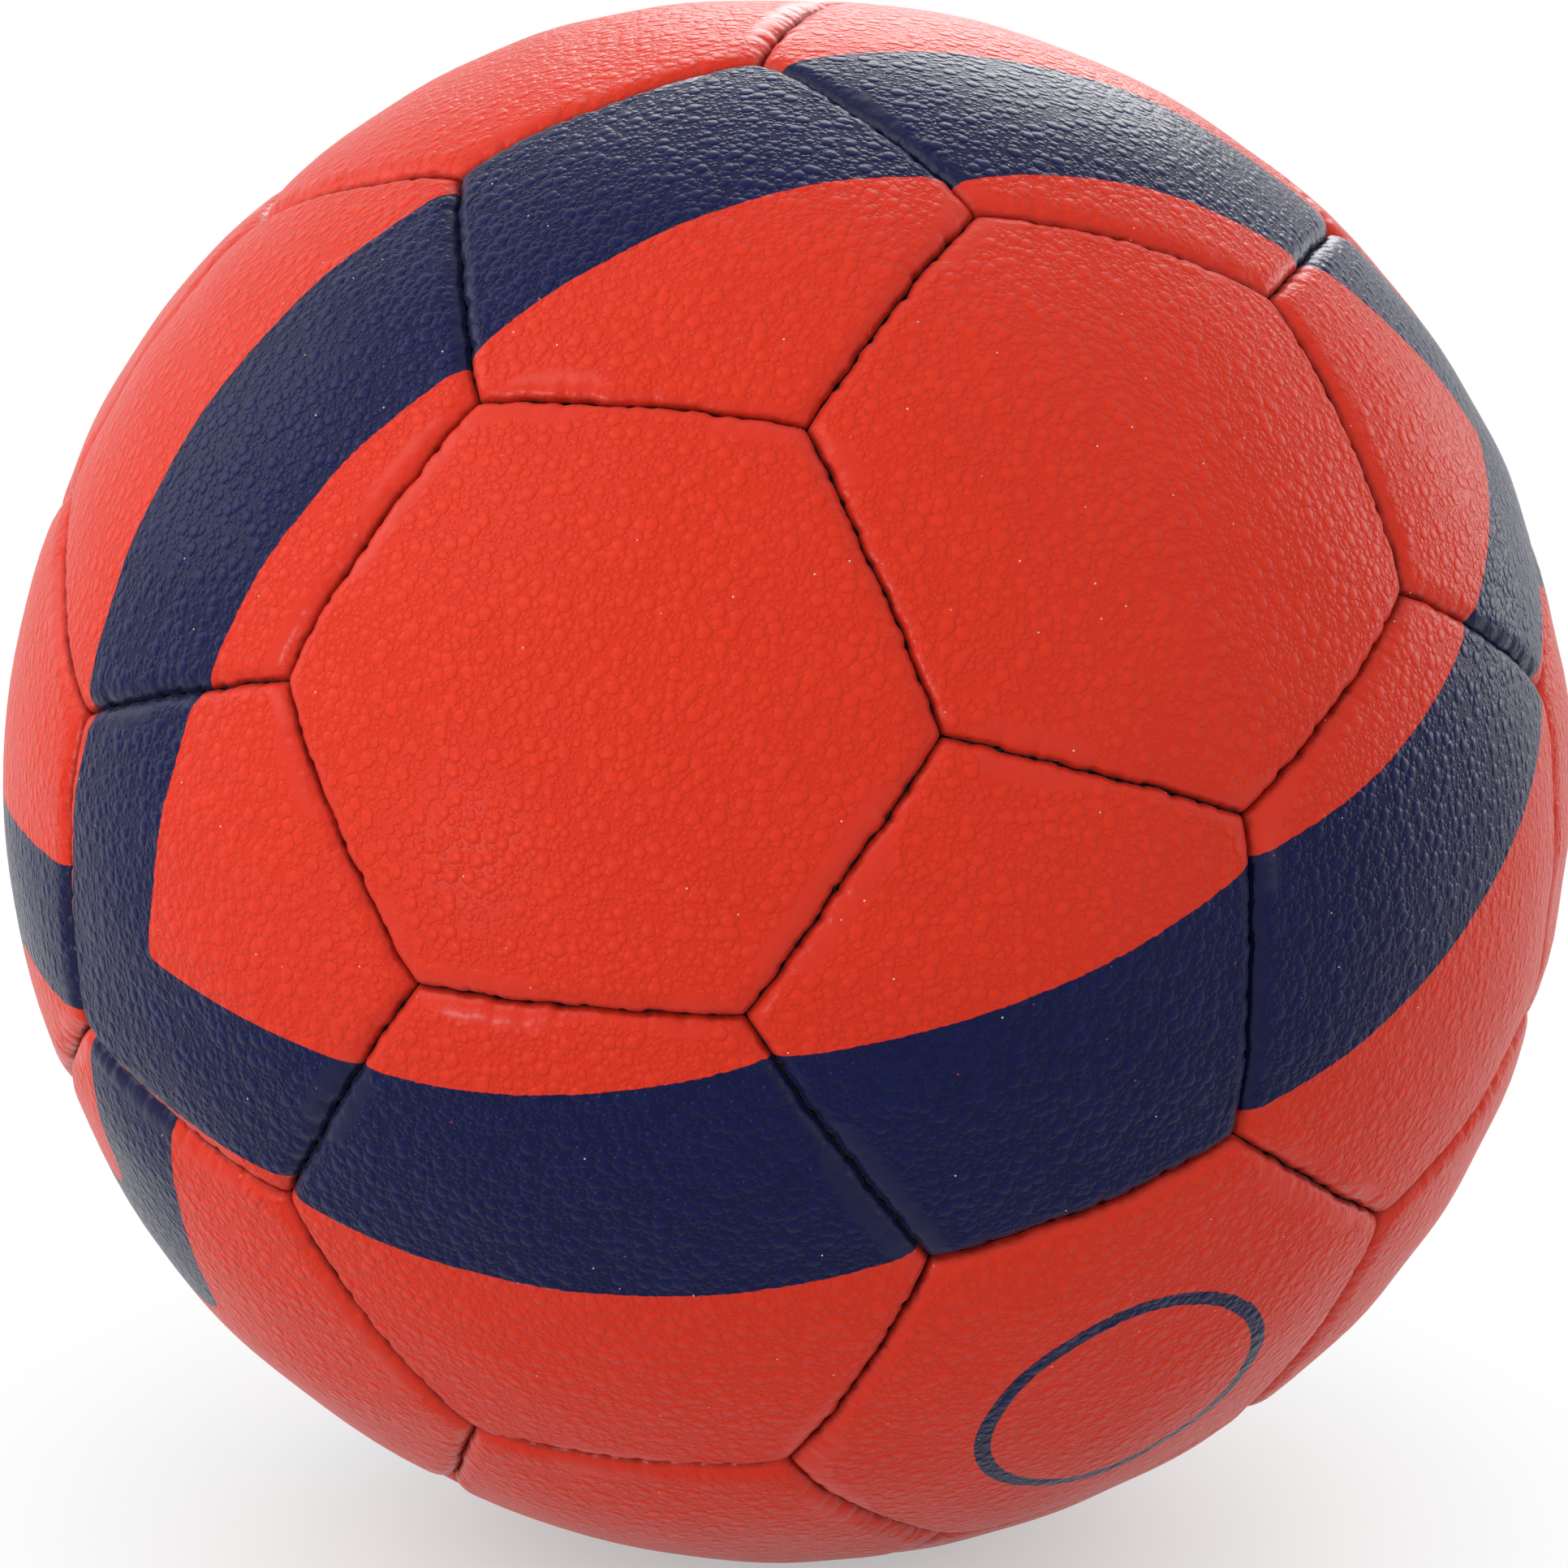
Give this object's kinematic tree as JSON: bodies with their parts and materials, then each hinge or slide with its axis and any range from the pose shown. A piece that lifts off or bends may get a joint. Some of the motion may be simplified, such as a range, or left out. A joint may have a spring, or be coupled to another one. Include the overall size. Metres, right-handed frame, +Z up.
{
  "type": "tchoukball ball",
  "caption": "Hand-stitched ball of domed hexagonal and pentagonal panels with rolled seams, over an inflated bladder with a recessed valve.",
  "frame": {"origin": "centre of the ball", "axes": "+Z up as the ball lies in the picture, -Y towards the front of the printed design, +X to the right; X, Y and Z each pass through the middle of a seam between two hexagons"},
  "size_m": [0.1864, 0.1864, 0.1864],
  "materials": {
    "cover": "grained synthetic leather, orange-red with crossing navy bands in print, satin, with rolled edges at the seams",
    "thread": "dark waxed polyester thread",
    "bladder": "smooth matte butyl rubber",
    "valve": "moulded black rubber, satin",
    "valve_core": "moulded dark grey rubber, satin",
    "patch": "unbleached woven reinforcing cloth"
  },
  "bodies": {
    "root": {"panel_hex_01": "cover", "panel_hex_02": "cover", "panel_hex_03": "cover", "panel_hex_04": "cover", "panel_hex_05": "cover", "panel_hex_06": "cover", "panel_hex_07": "cover", "panel_hex_08": "cover", "panel_hex_09": "cover", "panel_hex_10": "cover", "panel_hex_11": "cover", "panel_hex_12": "cover", "panel_hex_13": "cover", "panel_hex_14": "cover", "panel_hex_15": "cover", "panel_hex_16": "cover", "panel_hex_17": "cover", "panel_hex_18": "cover", "panel_hex_19": "cover", "panel_hex_20": "cover", "panel_pent_01": "cover", "panel_pent_02": "cover", "panel_pent_03": "cover", "panel_pent_04": "cover", "panel_pent_05": "cover", "panel_pent_06": "cover", "panel_pent_07": "cover", "panel_pent_08": "cover", "panel_pent_09": "cover", "panel_pent_10": "cover", "panel_pent_11": "cover", "panel_pent_12": "cover", "thread_valve_cap": "thread", "thread_front_cap": "thread", "thread_closing_seam": "thread", "bladder": "bladder", "valve_patch": "patch", "valve_housing": "valve", "valve_core": "valve_core"}
  },
  "joints": []
}
